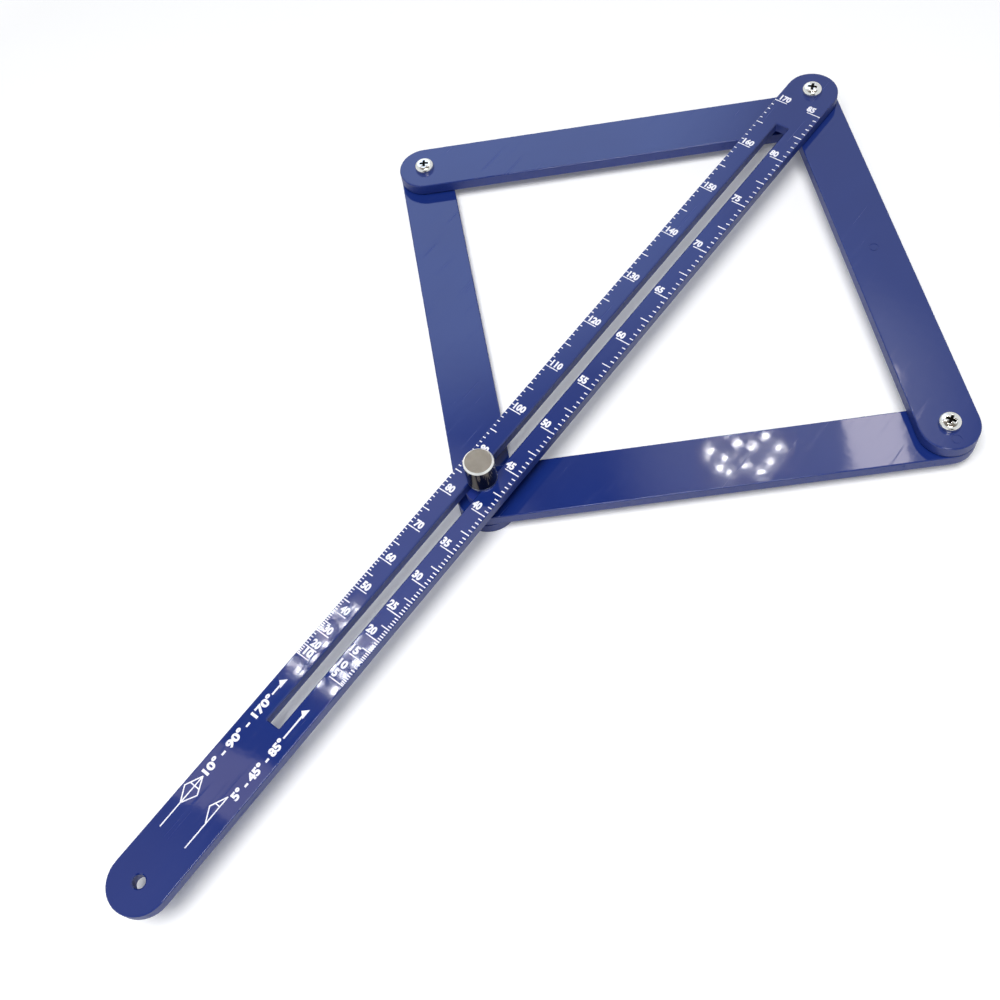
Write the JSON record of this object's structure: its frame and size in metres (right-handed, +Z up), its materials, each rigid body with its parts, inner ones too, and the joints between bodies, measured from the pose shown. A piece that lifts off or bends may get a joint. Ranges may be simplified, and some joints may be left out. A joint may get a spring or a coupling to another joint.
{
  "type": "angle finder with arms",
  "caption": "Four flat arms pinned in a rhombus that slides along a slotted, graduated ruler; a clamp knob holds the angle between the two upper arms, read on the ruler.",
  "frame": {"origin": "bottom centre of the tool's box, with the arms open as at rest", "axes": "+X along the ruler from the apex pivot to the hanging hole, +Z up through the clamp knob, -Y towards the left arms"},
  "size_m": [0.3848, 0.2434, 0.0302],
  "materials": {
    "blue_plastic": "satin",
    "nickel_plated_steel": "polished",
    "zinc_plated_steel": "satin",
    "white_nylon": "matte",
    "spacer_plastic": "matte",
    "knob_metal": "polished"
  },
  "bodies": {
    "ruler": {"scale_ruler": "blue_plastic", "apex_screw": "nickel_plated_steel", "apex_lock_nut": "zinc_plated_steel", "apex_upper_washer": "white_nylon", "apex_lower_washer": "white_nylon"},
    "upper_left": {"upper_left_arm": "blue_plastic"},
    "upper_right": {"upper_right_arm": "blue_plastic", "right_elbow_screw": "nickel_plated_steel", "right_elbow_lock_nut": "zinc_plated_steel", "right_elbow_washer": "white_nylon"},
    "lower_left": {"lower_left_arm": "blue_plastic", "left_elbow_screw": "nickel_plated_steel", "left_elbow_nut": "zinc_plated_steel", "left_elbow_washer": "white_nylon", "clamp_bolt": "zinc_plated_steel", "slider_washer": "white_nylon", "slider_spacer": "spacer_plastic"},
    "lower_right": {"lower_right_arm": "blue_plastic"},
    "clamp_washer": {"knob_washer": "zinc_plated_steel"},
    "knob": {"clamp_knob": "knob_metal"}
  },
  "joints": [
    {"name": "upper_left_fold", "type": "hinge", "parent": "ruler", "child": "upper_left", "pos_m": [-0.1824, 0, 0.0073], "axis": [0, 0, -1], "range_deg": [-40.3, 37.7]},
    {"name": "upper_right_fold", "type": "hinge", "parent": "ruler", "child": "upper_right", "pos_m": [-0.1824, 0, 0.0123], "axis": [0, 0, 1], "range_deg": [-40.3, 37.7]},
    {"name": "left_elbow", "type": "hinge", "parent": "upper_left", "child": "lower_left", "pos_m": [-0.07932, -0.11171, 0.005], "axis": [0, 0, 1], "range_deg": [-80.6, 75.4]},
    {"name": "right_elbow", "type": "hinge", "parent": "upper_right", "child": "lower_right", "pos_m": [-0.07932, 0.11171, 0.01], "axis": [0, 0, -1], "range_deg": [-80.6, 75.4]},
    {"name": "clamp_lift", "type": "slide", "parent": "lower_left", "child": "clamp_washer", "axis": [0, 0, 1], "range_m": [0, 0.00061]},
    {"name": "knob_turn", "type": "hinge", "parent": "clamp_washer", "child": "knob", "pos_m": [0.02376, 0, 0.0243], "axis": [0, 0, 1], "range_deg": [0, 270]}
  ],
  "couplings": [
    {"joint": "upper_right_fold", "follows": "upper_left_fold", "ratio": 1},
    {"joint": "left_elbow", "follows": "upper_left_fold", "ratio": 2},
    {"joint": "right_elbow", "follows": "upper_left_fold", "ratio": 2},
    {"joint": "clamp_lift", "follows": "knob_turn", "m_per_rad": 0.00012732}
  ]
}
